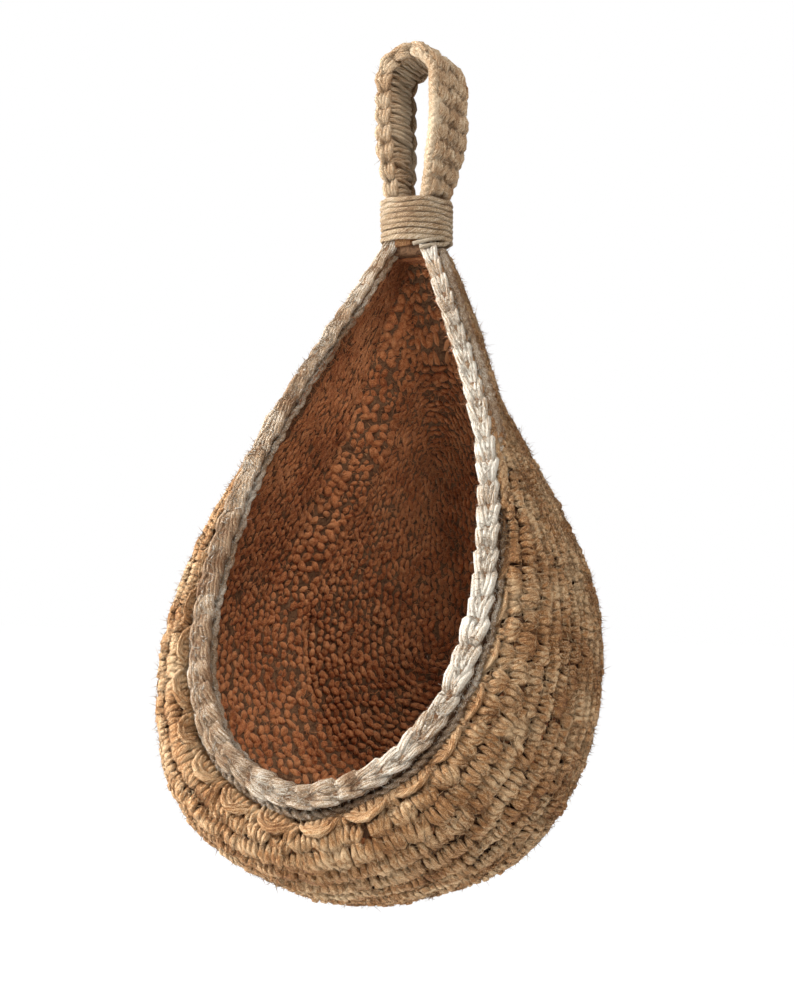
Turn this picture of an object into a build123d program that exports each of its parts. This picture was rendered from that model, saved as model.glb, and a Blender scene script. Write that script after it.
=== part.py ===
from build123d import *
import math
import os

# A teardrop wall basket crocheted from jute twine, in millimetres.
# The origin is the hook seat: the underside of the hanging loop's crown. +Z is up, -Y is the
# side with the mouth, and the flat back rests on a wall at +Y.

# Bag
bag_width = 212            # widest part of the bag, left to right
bag_height = 322           # foot of the neck down to the bag's lowest point
bag_reach = 131            # furthest front of the bag, ahead of the hook's vertical
wall_offset = 31           # the wall's face, behind the hook's vertical
fabric_thickness = 7       # one layer of single crochet in this twine

# Mouth
mouth_width = 144          # between the middles of the edging, at the widest
mouth_height = 265         # foot of the neck down to the middle of the edging's lowest point
mouth_reach = 121          # the edging's lowest point, ahead of the hook's vertical
edging_diameter = 13       # the braided edging round the mouth
edging_bite = 0.5          # how far the fabric's edge is worked into the edging

# Back panel
back_width = 160           # the flat back, left to right
back_head = 57             # foot of the neck down to the top of the flat back
back_foot = 283            # foot of the neck down to the bottom of the flat back

# Neck
neck_top = 70              # hook seat down to the top of the gathered neck
neck_length = 25           # the gathered neck, top to foot
neck_width = 34.4          # the gathered neck, left to right
neck_depth = 28.4          # the gathered neck, front to back
neck_overlap = 3           # how far the loops of fabric are followed up past the neck's foot

# Binding
binding_twine = 2.3        # diameter of the binding's twine
binding_turns = 8          # turns round the neck
binding_spacing = 0.45     # clear space between one turn and the next
binding_seat = 0.1         # clear space between the twine and the gathered neck
binding_inset = 1.6        # top of the neck down to the middle of the first turn
binding_tuck = 3.5         # bend radius where each end of the twine turns into the neck

# Hanging loop
strap_width = 36           # the strap's width, front to back
strap_pinch = 22           # its width where it is drawn together at the neck
strap_thickness = 8        # one layer of the strap
loop_width = 37            # outside width of the loop
loop_lean = 3              # the crown's middle, to the right of the neck's middle
loop_spread_drop = 36      # hook seat down to where the two legs are fully apart
loop_foot_radius = 16      # outside radius of the loop's rounded foot
loop_bend_drop = 57.5      # hook seat down to the line that the loop bends about
bend_clearance = 0.3       # clear space between the loop's foot and its seat in the neck

neck_foot = neck_top + neck_length

# How the loops of fabric run from the mouth to the back panel, one row to a loop. The first three
# shares are the loop's width, its lowest point's place ahead of the hook and that point's drop, of
# the bag's width, reach and height. The next two are its top's place, of the neck's depth, and its
# width there, of the neck's width. Then comes how far its outline has changed from the mouth's to
# the side's, and last which way its inside lies, sideways and backwards, of the fabric's thickness.
loop_shares = [
    (0.79, 0.985, 0.868, -0.25, 0.64, 0.35, 0.20, 0.95),
    (0.90, 0.965, 0.915, -0.18, 0.71, 0.70, 0.65, 0.70),
    (0.97, 0.780, 0.966, -0.04, 0.78, 1.00, 0.93, 0.30),
    (1.00, 0.500, 1.000, 0.11, 0.81, 1.20, 1.00, 0.00),
    (0.96, 0.170, 0.996, 0.28, 0.78, 1.40, 1.00, -0.15),
    (0.87, -0.100, 0.950, 0.45, 0.70, 1.60, 0.95, -0.35),
]
mouth_top_place_share = -0.28
mouth_top_width_share = 0.62
back_top_width_share = 0.56
back_change_share = 1.6

steps_between_loops = 3     # bands of the bag's skin from one loop to the next

# Half widths of a loop at steps down its height, as shares of its greatest half width.
drop_shares = [0.0, 0.13, 0.27, 0.42, 0.56, 0.70, 0.84, 0.945]
mouth_half_width_shares = [0.17, 0.385, 0.64, 0.86, 0.96, 0.985, 0.86, 0.55]
side_half_width_shares = [0.15, 0.335, 0.53, 0.79, 0.965, 1.0, 0.88, 0.59]


def fabric_loop(half_width, top, bottom, top_half_width, change, outward=0.0, back=0.0):
    """Points down one side of a loop of the bag, ending at its lowest, moved outward and back."""
    points = []
    top_y, top_z = top
    bottom_y, bottom_z = bottom
    for step, drop_share in enumerate(drop_shares):
        mouth_share = mouth_half_width_shares[step]
        side_share = side_half_width_shares[step]
        share = mouth_share + (side_share - mouth_share) * change
        x = top_half_width if step == 0 else half_width * share
        y = top_y + (bottom_y - top_y) * drop_share
        z = top_z + (bottom_z - outward - top_z) * drop_share
        points.append(Vector(x + outward * share, y + back, z))
    points.append(Vector(0, bottom_y + back, bottom_z - outward))
    return points


def raised(points, rise):
    """The same loop with its top drawn up into the neck by a rise, in the loop's own plane."""
    along = points[0] - points[-1]
    return [points[0] + Vector(0, along.Y / along.Z * rise, rise)] + points[1:]


def moved_back(points, distance):
    """The same loop, moved back by a distance."""
    return [point + Vector(0, distance, 0) for point in points]


def mouth_loop(outward=0.0, back=0.0):
    """The loop of the mouth, along the middle of its edging."""
    top = (mouth_top_place_share * neck_depth, -neck_foot)
    bottom = (-mouth_reach, -neck_foot - mouth_height)
    top_half_width = mouth_top_width_share * neck_width / 2
    return fabric_loop(mouth_width / 2, top, bottom, top_half_width, 0.0, outward, back)


def side_loops(inset):
    """The loops between the mouth and the back panel, moved into the bag by an inset."""
    loops = []
    for width, place, drop, top_place, top_width, change, side, back in loop_shares:
        top = (top_place * neck_depth, -neck_foot)
        bottom = (-place * bag_reach, -neck_foot - drop * bag_height)
        top_half_width = top_width * neck_width / 2
        half_width = width * bag_width / 2
        loops.append(fabric_loop(half_width, top, bottom, top_half_width, change,
                                 -side * inset, back * inset))
    return loops


def back_loop(inset):
    """The loop round the flat back panel, moved into the bag by an inset."""
    top = (wall_offset, -neck_foot - back_head - inset)
    bottom = (wall_offset, -neck_foot - back_foot)
    top_half_width = back_top_width_share * neck_width / 2
    return fabric_loop(back_width / 2, top, bottom, top_half_width, back_change_share, -inset, -inset)


def loop_wire(points):
    """One loop as a closed line: a spline down, round and up, and a straight top."""
    mirrored = [Vector(-point.X, point.Y, point.Z) for point in points[:-1]]
    outline = Spline(*(points + mirrored[::-1]))
    top_line = Line(mirrored[0], points[0])
    return Wire([outline, top_line])


def above(level):
    """A block of space above a level, larger than the bag all round."""
    side = 4 * bag_width
    return Pos(0, 0, level) * Box(side, side, side, align=(Align.CENTER, Align.CENTER, Align.MIN))


def between(before, start, end, after, share):
    """A point at a share of the way from a start to an end, on a smooth line past all four points."""
    start_way = (end - before) / 2
    end_way = (after - start) / 2
    straight = start + (end - start) * share
    start_pull = (start_way - (end - start)) * share * (1 - share) ** 2
    end_pull = (end - start - end_way) * share ** 2 * (1 - share)
    return straight + start_pull + end_pull


def skin(loops):
    """A skin of fabric: narrow bands through the loops and smooth steps between them, straight on top."""
    wires = []
    for here in range(len(loops) - 1):
        four = [loops[max(here - 1, 0)], loops[here], loops[here + 1], loops[min(here + 2, len(loops) - 1)]]
        for step in range(steps_between_loops):
            share = step / steps_between_loops
            points = [between(*corners, share) for corners in zip(*four)]
            points[0] = loops[here][0] + (loops[here + 1][0] - loops[here][0]) * share
            wires.append(loop_wire(points))
    wires.append(loop_wire(loops[-1]))
    return list(Shell.make_loft(wires, ruled=True).faces())


def band(start, end):
    """A straight band of the fabric's edge, from one loop to another."""
    return list(Shell.make_loft([loop_wire(start), loop_wire(end)], ruled=True).faces())


def make_bag_wall():
    """The bag's wall: an outer and an inner skin, joined round the mouth and round the back panel."""
    edge = edging_diameter / 2 - edging_bite
    outer = [mouth_loop(edge)] + side_loops(0.0) + [back_loop(0.0)]
    inner = [mouth_loop(edge, fabric_thickness)] + side_loops(fabric_thickness)
    inner = [raised(points, -fabric_thickness) for points in inner] + [back_loop(fabric_thickness)]
    seam = moved_back(inner[-1], fabric_thickness)
    faces = skin(outer) + skin(inner) + band(outer[0], inner[0]) + band(inner[-1], seam)
    faces.append(Face(loop_wire(outer[-1]), [loop_wire(seam)]))
    return Solid(Shell(faces)).fix()


def make_back_panel():
    """The flat back panel, inside the wall's last round."""
    face = make_face(loop_wire(back_loop(fabric_thickness)))
    return extrude(face, amount=fabric_thickness, dir=(0, 1, 0))


def tangents(points, first, last):
    """Directions along a chain of points, each from its two neighbours."""
    found = [first]
    for before, here, after in zip(points, points[1:], points[2:]):
        near = (here - before).normalized() * (after - here).length
        far = (after - here).normalized() * (here - before).length
        found.append((near + far).normalized())
    found.append(last)
    return found


def biarc(start, start_way, end, end_way):
    """Two arcs that meet smoothly, from a point and direction to a point and direction."""
    across = end - start
    bend = 2 * (1 - start_way.dot(end_way))
    lean = 2 * across.dot(start_way + end_way)
    reach = 2 * across.dot(across) / (lean + math.sqrt(lean * lean + 4 * bend * across.dot(across)))
    left = start + start_way * reach
    right = end - end_way * reach
    middle = (left + right) / 2
    middle_way = (right - left).normalized()
    return [TangentArc(start, middle, tangent=start_way), TangentArc(middle, end, tangent=middle_way)]


def biarc_path(points, ways):
    """A smooth chain of arcs through points, with a direction at each."""
    arcs = []
    for start, start_way, end, end_way in zip(points, ways, points[1:], ways[1:]):
        arcs += biarc(start, start_way, end, end_way)
    return arcs


def tube(path, diameter):
    """A round tube along a path."""
    section = Plane(origin=path @ 0, z_dir=path % 0) * Circle(diameter / 2)
    return sweep(section, path=path)


def make_edging():
    """The braided edging: one tube along the mouth, down one side of the neck's foot and up the other."""
    side = raised(mouth_loop(), neck_overlap)
    points = side + [Vector(-point.X, point.Y, point.Z) for point in side[:-1]][::-1]
    first = (points[1] - points[0]).normalized()
    last = Vector(first.X, -first.Y, -first.Z)
    path = Wire(biarc_path(points, tangents(points, first, last)))
    return tube(path, edging_diameter) - above(-neck_foot)


def neck_point(turn, half_width, half_depth):
    """A place on the neck's oval, at a number of turns from its left side, and the direction there."""
    angle = 2 * math.pi * turn
    place = Vector(-half_width * math.cos(angle), -half_depth * math.sin(angle), 0)
    way = Vector(half_width * math.sin(angle), -half_depth * math.cos(angle), 0).normalized()
    return place, way


def binding_path():
    """The binding's line: turns round the neck, each end bent square into it for one diameter."""
    clear = binding_twine / 2 + binding_seat
    half_width = neck_width / 2 + clear
    half_depth = neck_depth / 2 + clear
    pitch = binding_twine + binding_spacing
    slope = Vector(0, 0, -pitch / (math.pi * (half_width + half_depth)))
    quarters = 4 * binding_turns
    points = []
    ways = []
    for quarter in range(quarters + 1):
        place, way = neck_point(quarter / 4, half_width, half_depth)
        points.append(place + Vector(0, 0, -neck_top - binding_inset - pitch * quarter / 4))
        ways.append((way + slope).normalized())
    inward = Vector(1, 0, 0)
    bend_start = points[0] + (inward - ways[0]) * binding_tuck
    bend_end = points[-1] + (inward + ways[-1]) * binding_tuck
    first = [
        Line(bend_start + inward * binding_twine, bend_start),
        TangentArc(bend_start, points[0], tangent=-inward),
    ]
    last = [
        TangentArc(points[-1], bend_end, tangent=ways[-1]),
        Line(bend_end, bend_end + inward * binding_twine),
    ]
    return Wire(first + biarc_path(points, ways) + last)


def print_least_gap(path):
    """Print the least gap between one turn of the binding and another, measured on points."""
    steps_to_a_turn = 72
    steps = steps_to_a_turn * binding_turns
    points = [path @ (step / steps) for step in range(steps + 1)]
    gaps = [
        (points[one] - points[other]).length - binding_twine
        for one in range(steps + 1)
        for other in range(one + steps_to_a_turn // 2, steps + 1)
    ]
    print("least gap of the binding to itself:", round(min(gaps), 3), "mm")


def make_neck(binding):
    """The gathered neck: an oval core, hollowed for the loop's foot and for the binding's two ends."""
    oval = Ellipse(neck_width / 2, neck_depth / 2)
    core = extrude(Plane.XY.offset(-neck_foot) * oval, amount=neck_length)
    seat = Cylinder(loop_foot_radius + bend_clearance, 2 * neck_depth, rotation=(90, 0, 0))
    return core - Pos(0, 0, -loop_bend_drop) * seat - binding


def loop_outline(inset):
    """The hanging loop's outline seen from the front, moved inward by an inset."""
    foot = loop_foot_radius - inset
    crown = loop_width / 2 - inset
    crown_z = strap_thickness - loop_width / 2
    up = Vector(0, 0, 1)
    foot_right = Vector(foot, 0, -loop_bend_drop)
    foot_left = Vector(-foot, 0, -loop_bend_drop)
    leg_right = Vector(loop_lean + crown, 0, -loop_spread_drop)
    leg_left = Vector(loop_lean - crown, 0, -loop_spread_drop)
    crown_right = Vector(loop_lean + crown, 0, crown_z)
    crown_left = Vector(loop_lean - crown, 0, crown_z)
    edges = [ThreePointArc(foot_left, Vector(0, 0, -loop_bend_drop - foot), foot_right)]
    edges += biarc(foot_right, up, leg_right, up)
    edges += [Line(leg_right, crown_right)]
    edges += [ThreePointArc(crown_right, Vector(loop_lean, 0, crown_z + crown), crown_left)]
    edges += [Line(crown_left, leg_left)]
    edges += biarc(leg_left, -up, foot_left, -up)
    return make_face(Wire(edges))


def make_hanging_loop():
    """The hanging loop: a flat strap bent to a closed loop, drawn narrower towards its foot."""
    band = extrude(loop_outline(0.0), amount=strap_width, both=True, dir=(0, 1, 0))
    eye = extrude(loop_outline(strap_thickness), amount=strap_width, both=True, dir=(0, 1, 0))
    top = 2 * strap_thickness
    foot = -loop_bend_drop - 2 * loop_foot_radius
    wide = strap_width / 2
    narrow = strap_pinch / 2
    side_points = [
        (wide, top),
        (-wide, top),
        (-wide, -loop_spread_drop),
        (-narrow, -loop_bend_drop),
        (-narrow, foot),
        (narrow, foot),
        (narrow, -loop_bend_drop),
        (wide, -loop_spread_drop),
    ]
    side = make_face(Polyline(*[Vector(0, y, z) for y, z in side_points], close=True))
    return (band - eye) & extrude(side, amount=2 * loop_width, both=True, dir=(1, 0, 0))


binding_line = binding_path()
binding = tube(binding_line, binding_twine)
print_least_gap(binding_line)

parts = {
    "bag_wall": make_bag_wall(),
    "back_panel": make_back_panel(),
    "mouth_edging": make_edging(),
    "neck_gather": make_neck(binding),
    "neck_binding": binding,
    "hanging_loop": make_hanging_loop(),
}

os.makedirs("parts", exist_ok=True)
for name, part in parts.items():
    export_step(part, f"parts/{name}.step")
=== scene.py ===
# %% [markdown]
# # A crocheted hanging fruit basket
#
# The real basket is one length of jute twine after another: a flat back worked in rounds, a wall
# that grows out of it round by round, a braided rim, a strap folded to a loop, and a thin twine
# wound round the neck where all of it is gathered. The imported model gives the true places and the
# two bodies that move. This lesson dresses them in real stitches, because twine this thick shows
# every stitch from across a room, and a bump on a smooth shell would not.

# %% Load the frame
import math
import bpy
import numpy as np
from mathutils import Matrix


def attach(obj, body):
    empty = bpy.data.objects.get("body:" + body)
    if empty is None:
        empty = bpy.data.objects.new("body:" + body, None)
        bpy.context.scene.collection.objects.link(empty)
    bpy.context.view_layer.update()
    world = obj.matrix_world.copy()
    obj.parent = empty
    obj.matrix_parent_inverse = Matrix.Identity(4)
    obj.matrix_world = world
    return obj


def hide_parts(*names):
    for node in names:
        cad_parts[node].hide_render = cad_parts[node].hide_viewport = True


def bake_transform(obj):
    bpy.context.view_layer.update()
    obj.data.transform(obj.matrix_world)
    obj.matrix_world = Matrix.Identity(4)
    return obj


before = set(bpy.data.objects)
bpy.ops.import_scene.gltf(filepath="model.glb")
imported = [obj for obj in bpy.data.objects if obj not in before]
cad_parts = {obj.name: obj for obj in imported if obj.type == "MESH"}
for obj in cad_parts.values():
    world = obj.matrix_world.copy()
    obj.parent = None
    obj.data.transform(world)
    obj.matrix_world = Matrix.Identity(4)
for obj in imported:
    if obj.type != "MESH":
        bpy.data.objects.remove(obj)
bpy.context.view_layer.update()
random = np.random.default_rng(7)

# %% [markdown]
# ## The camera
#
# The photograph was taken from a little to the basket's right, level with its middle, and tilted up
# by about two degrees. The lens is moderately long. The picture was cropped off centre, so the
# camera has a small sideways shift instead of a turn, which would change the perspective.

# %% Place the camera
view_azimuth = math.radians(24)
view_distance = 0.7776
view_aim_depth = 0.0147
view_height = -0.2506
view_tilt = math.radians(2.11)
sensor_width = 36
lens_length = 67.3
frame_shift = -0.039

camera_data = bpy.data.cameras.new("camera")
camera_data.sensor_fit = "HORIZONTAL"
camera_data.sensor_width = sensor_width
camera_data.lens = lens_length
camera_data.shift_x = frame_shift
camera = bpy.data.objects.new("camera", camera_data)
bpy.context.scene.collection.objects.link(camera)
camera.location = (
    math.sin(view_azimuth) * view_distance,
    view_aim_depth - math.cos(view_azimuth) * view_distance,
    view_height,
)
camera.rotation_euler = (math.pi / 2 + view_tilt, 0, view_azimuth)
bpy.context.scene.camera = camera
print("camera at", tuple(round(value, 3) for value in camera.location))

# %% [markdown]
# ## The bag's sizes
#
# These are the same sizes and shares as the solid model's, in metres. The bag is a family of loops
# that all start and end at the neck: the mouth, six loops round the wall and the edge of the back.
# Everything that is crocheted later follows them.

# %% Name the bag's sizes
mm = 0.001
bag_width = 212 * mm
bag_height = 322 * mm
bag_reach = 131 * mm
wall_offset = 31 * mm
fabric_thickness = 7 * mm
mouth_width = 144 * mm
mouth_height = 265 * mm
mouth_reach = 121 * mm
edging_diameter = 13 * mm
back_width = 160 * mm
back_head = 57 * mm
back_foot = 283 * mm
neck_top = 70 * mm
neck_length = 25 * mm
neck_width = 34.4 * mm
neck_depth = 28.4 * mm
neck_foot = neck_top + neck_length

# Each loop of the wall: its width, its lowest point's place and that point's drop, of the bag's
# width, reach and height. Then its top's place and width, of the neck's depth and width, and how far
# its outline has changed from the mouth's to the side's.
loop_shares = [
    (0.79, 0.985, 0.868, -0.25, 0.64, 0.35),
    (0.90, 0.965, 0.915, -0.18, 0.71, 0.70),
    (0.97, 0.780, 0.966, -0.04, 0.78, 1.00),
    (1.00, 0.500, 1.000, 0.11, 0.81, 1.20),
    (0.96, 0.170, 0.996, 0.28, 0.78, 1.40),
    (0.87, -0.100, 0.950, 0.45, 0.70, 1.60),
]
mouth_top_place_share = -0.28
mouth_top_width_share = 0.62
back_top_width_share = 0.56
back_change_share = 1.6
# The points down one side of a loop: how far down each lies, and half the width there, first for
# the mouth's outline and then for the side's.
drop_shares = [0.0, 0.13, 0.27, 0.42, 0.56, 0.70, 0.84, 0.945]
mouth_half_width_shares = [0.17, 0.385, 0.64, 0.86, 0.96, 0.985, 0.86, 0.55]
side_half_width_shares = [0.15, 0.335, 0.53, 0.79, 0.965, 1.0, 0.88, 0.59]
print("bag", bag_width, "by", bag_height, "m,", len(loop_shares), "loops round the wall")

# %% Draw the loops of fabric
def fabric_loop(half_width, top, bottom, top_half_width, change, outward=0.0):
    """Points of one loop of the bag, from the neck down its left side and up its right side."""
    side = []
    for step, drop in enumerate(drop_shares):
        share = mouth_half_width_shares[step]
        share += (side_half_width_shares[step] - mouth_half_width_shares[step]) * change
        x = top_half_width if step == 0 else half_width * share
        y = top[0] + (bottom[0] - top[0]) * drop
        z = top[1] + (bottom[1] - outward - top[1]) * drop
        side.append((x + outward * share, y, z))
    left = [(-x, y, z) for x, y, z in side]
    return np.array(left + [(0, bottom[0], bottom[1] - outward)] + side[::-1])


def mouth_loop(outward=0.0):
    """The loop of the mouth, along the middle of its braided rim."""
    top = (mouth_top_place_share * neck_depth, -neck_foot)
    bottom = (-mouth_reach, -neck_foot - mouth_height)
    return fabric_loop(mouth_width / 2, top, bottom, mouth_top_width_share * neck_width / 2, 0, outward)


def wall_loops():
    """The six loops round the wall, from the mouth towards the back."""
    loops = []
    for width, place, drop, top_place, top_width, change in loop_shares:
        top = (top_place * neck_depth, -neck_foot)
        bottom = (-place * bag_reach, -neck_foot - drop * bag_height)
        loops.append(fabric_loop(width * bag_width / 2, top, bottom, top_width * neck_width / 2, change))
    return loops


def back_loop():
    """The edge of the flat back."""
    top = (wall_offset, -neck_foot - back_head)
    bottom = (wall_offset, -neck_foot - back_foot)
    return fabric_loop(back_width / 2, top, bottom, back_top_width_share * neck_width / 2, back_change_share)


print("mouth", mouth_loop().shape[0], "points, lowest", mouth_loop()[:, 2].min().round(4))

# %% [markdown]
# ## A field of fabric to crochet on
#
# Stitches have a place along their round and a place across the rounds. So the loops are turned into
# a field: a fine grid of points, even along each round, with a direction outward at each. A stitch
# that is modelled flat can then be laid anywhere on it, set square to the fabric there. A subdivision
# surface would give the shape as well, but not the even spacing that stitches have.

# %% Read and smooth lines
def unit(ways):
    """The same directions, each of length one."""
    return ways / (np.linalg.norm(ways, axis=-1, keepdims=True) + 1e-12)


def distances(line):
    """How far along a line each of its points lies."""
    return np.concatenate([[0], np.cumsum(np.linalg.norm(np.diff(line, axis=0), axis=1))])


def read_line(places, far, values):
    """The values at some places along a line, from those at its points."""
    return np.stack([np.interp(places, far, values[:, axis]) for axis in range(3)], axis=1)


def between(before, start, end, after, share):
    """A point at a share of the way from start to end, on a smooth line past all four."""
    start_way = (end - before) / 2
    end_way = (after - start) / 2
    straight = start + (end - start) * share
    start_pull = (start_way - (end - start)) * share * (1 - share) ** 2
    end_pull = (end - start - end_way) * share ** 2 * (1 - share)
    return straight + start_pull + end_pull


def smooth_line(points, count, steps=24):
    """A smooth line through points, as evenly spaced points."""
    points = np.asarray(points, float)
    ends = np.vstack([2 * points[0] - points[1], points, 2 * points[-1] - points[-2]])
    shares = np.linspace(0, 1, steps, endpoint=False)[:, None]
    fine = [between(*ends[here:here + 4], shares) for here in range(len(points) - 1)]
    fine = np.vstack(fine + [points[-1:]])
    far = distances(fine)
    return read_line(np.linspace(0, far[-1], count), far, fine)


def closed_round(points, columns, top_steps=17):
    """One closed round: smooth down, round and up, then straight across its top, evenly spaced."""
    curve = smooth_line(points, columns)
    top = curve[-1] + (curve[0] - curve[-1]) * np.linspace(0, 1, top_steps)[1:, None]
    line = np.vstack([curve, top])
    far = distances(line)
    return read_line(np.linspace(0, far[-1], columns), far, line)


mouth_length = distances(smooth_line(mouth_loop(), 400))[-1]
print("the mouth's edge is", round(mouth_length, 3), "m long")

# %% Make a field from loops
def as_field(rows, normals, gaps, **more):
    """A field from its rows of points, its outward directions and the gaps between its rows."""
    across = np.concatenate([[0], np.cumsum(gaps)])
    lengths = np.linalg.norm(np.diff(rows, axis=1), axis=2).sum(axis=1)
    return {"points": rows, "normals": normals, "across": across, "lengths": lengths, **more}


def make_field(loops, outward, steps=12, columns=361):
    """A grid of points over loops of fabric: each row a round, even along it and across the rounds."""
    rows = []
    for here in range(len(loops) - 1):
        before = loops[max(here - 1, 0)]
        after = loops[min(here + 2, len(loops) - 1)]
        for step in range(steps):
            share = step / steps
            row = between(before, loops[here], loops[here + 1], after, share)
            for top in (0, -1):
                row[top] = loops[here][top] + (loops[here + 1][top] - loops[here][top]) * share
            rows.append(closed_round(row, columns))
    rows = np.array(rows + [closed_round(loops[-1], columns)])
    gaps = np.linalg.norm(np.diff(rows, axis=0), axis=2)[:, columns // 4:3 * columns // 4].mean(axis=1)
    along_way = np.roll(rows[:, :-1], -1, axis=1) - np.roll(rows[:, :-1], 1, axis=1)
    along_way = np.concatenate([along_way, along_way[:, :1]], axis=1)
    normals = unit(np.cross(along_way, np.gradient(rows, axis=0)))
    if np.dot(normals[len(rows) // 2, columns // 2], outward) < 0:
        normals = -normals
    return as_field(rows, normals, gaps)


def sample(field, along, across):
    """Places and outward directions on a field, at shares along the round and across the rounds."""
    rows, columns = field["points"].shape[:2]
    row = np.interp(across, field["across"] / field["across"][-1], np.arange(rows))
    along = np.clip(along, 0, 1) if "hidden_above" in field else along % 1.0
    column = along * (columns - 1)
    low_row = np.clip(row.astype(int), 0, rows - 2)
    low_column = np.clip(column.astype(int), 0, columns - 2)
    row_part = (row - low_row)[..., None]
    column_part = (column - low_column)[..., None]
    found = []
    for values in (field["points"], field["normals"]):
        near, far = (values[here, low_column] * (1 - column_part) + values[here, low_column + 1] * column_part
                     for here in (low_row, low_row + 1))
        found.append(near * (1 - row_part) + far * row_part)
    return found[0], unit(found[1])


rim_gap = edging_diameter / 2 - 0.5 * mm
wall_field = make_field([mouth_loop(rim_gap)] + wall_loops() + [back_loop()], (0, 0, -1))
print("wall: ", round(wall_field["across"][-1], 3), "m from rim to back")

# %% [markdown]
# ## The folds beside the mouth and the flat back
#
# Beside the upper mouth the fabric folds tighter than its own thickness, and stitches that stood
# straight out of the fold would run into each other. Its first rounds take the outward direction of
# a round further on instead. The back is worked round a short upright chain, so its rounds shrink
# from the back's edge to a line and not to a point.

# %% Settle the folds and make the back's field
settled_round = 26
fold_start = -270 * mm
fold_rise = 40 * mm
upper_share = np.clip((wall_field["points"][..., 2] - fold_start) / fold_rise, 0, 1)
round_share = np.clip(1.4 - np.arange(len(upper_share)) / settled_round, 0, 1)
fold_share = (upper_share * round_share[:, None])[..., None]
settled_ways = wall_field["normals"][settled_round][None]
wall_field["normals"] += (settled_ways - wall_field["normals"]) * fold_share

chain_inset_high = 62 * mm
chain_inset_low = 76 * mm
edge = back_loop()
start_chain = edge.copy()
start_chain[:, 0] = 0
start_chain[:, 2] = np.clip(edge[:, 2], -neck_foot - back_foot + chain_inset_low,
                            -neck_foot - back_head - chain_inset_high)
back_field = make_field([edge + (start_chain - edge) * share for share in (0, 0.33, 0.66, 1)], (0, 1, 0))
print("back: ", round(back_field["across"][-1], 3), "m from edge to start")

# %% [markdown]
# ## Jute twine
#
# Jute is a bast fibre: stiff, pale brown, a little shiny along the fibre and matt across it. The
# plies of the twine wind round each other, so fine streaks run along every strand at a slant. The
# material reads each strand's own map, where one direction runs round the strand and the other
# along it, so that the streaks follow every stitch wherever it bends.

# %% Define helpers for materials
def add_node(tree, kind, inputs=None, **settings):
    """A node with its settings. An input is a number to set or another node's output to link."""
    node = tree.nodes.new("ShaderNode" + kind)
    for name, value in settings.items():
        setattr(node, name, value)
    for socket, value in (inputs or {}).items():
        if isinstance(value, bpy.types.NodeSocket):
            tree.links.new(value, node.inputs[socket])
        else:
            node.inputs[socket].default_value = value
    return node


def calculate(tree, operation, *values):
    """The result of an operation on numbers and other nodes' outputs."""
    return add_node(tree, "Math", dict(enumerate(values)), operation=operation).outputs[0]


def noise(tree, place, scale, detail, roughness=0.5, distortion=0.0):
    """A noise read at a place."""
    return add_node(tree, "TexNoise", {
        "Vector": place, "Scale": scale, "Detail": detail, "Roughness": roughness, "Distortion": distortion
    }).outputs[0]


def add_ramp(tree, value, stops):
    """The colour at a value, on a ramp through (position, colour) stops."""
    node = add_node(tree, "ValToRGB", {0: value})
    elements = node.color_ramp.elements
    for element, (position, color) in zip(elements, (stops[0], stops[-1])):
        element.position = position
        element.color = (*color, 1)
    for position, color in stops[1:-1]:
        elements.new(position).color = (*color, 1)
    return node.outputs[0]


def new_material(name):
    """An empty material and its node tree."""
    material = bpy.data.materials.new(name)
    material.use_nodes = True
    material.node_tree.nodes.clear()
    return material, material.node_tree


def add_surface(tree, color, height, relief, depth, finish):
    """The shader, with its colour, its bump and its other numbers, and the output."""
    normal = add_node(tree, "Bump", {"Strength": relief, "Distance": depth, "Height": height}).outputs[0]
    shader = add_node(tree, "BsdfPrincipled", {"Base Color": color, "Normal": normal, **finish})
    add_node(tree, "OutputMaterial", {0: shader.outputs[0]})


print("material helpers ready")

# %% Define the jute material
def jute(name, dark, middle, light, twist=0.6, streaks=17.0, runs=2.6, relief=1.0):
    """Twisted jute: streaks along the strand, blotches over the piece, and a tone per copy: random per stitch,
    and on some pieces also painted light or shade.
    """
    material, tree = new_material(name)
    strand_map = add_node(tree, "UVMap", uv_map="strand").outputs[0]
    split = add_node(tree, "SeparateXYZ", {0: strand_map}).outputs
    slant = calculate(tree, "MULTIPLY_ADD", split[1], twist, split[0])
    turned = add_node(tree, "CombineXYZ", {0: slant, 1: split[1]}).outputs[0]
    stretched = add_node(tree, "Mapping", {0: turned, "Scale": (streaks, runs, 1)}).outputs[0]
    fibres = noise(tree, stretched, 1.0, 4, roughness=0.72, distortion=0.5)
    streaked = add_node(tree, "MapRange", {"Value": fibres, "From Min": 0.33, "From Max": 0.67}).outputs[0]

    place = add_node(tree, "TexCoord").outputs["Object"]
    blotches = noise(tree, place, 45, 4)
    tone = add_node(tree, "Attribute", attribute_name="tone").outputs["Fac"]
    toned = calculate(tree, "ADD", calculate(tree, "MULTIPLY_ADD", streaked, 0.55, blotches), tone)

    loose = noise(tree, place, 900, 3, distortion=2.5)
    fuzz = add_node(tree, "MapRange", {"Value": loose, "From Min": 0.35, "From Max": 0.65, "To Min": -0.2,
                                       "To Max": 0.2}).outputs[0]
    rough = calculate(tree, "MULTIPLY_ADD", fuzz, 2.0, streaked)
    color = add_ramp(tree, calculate(tree, "ADD", toned, fuzz), [(0.38, dark), (0.72, middle), (1.0, light)])
    add_surface(tree, color, rough, relief, 0.8 * mm, {
        "Roughness": 0.85, "Specular IOR Level": 0.12, "Sheen Weight": 0.05, "Sheen Roughness": 0.4})
    return material


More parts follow.
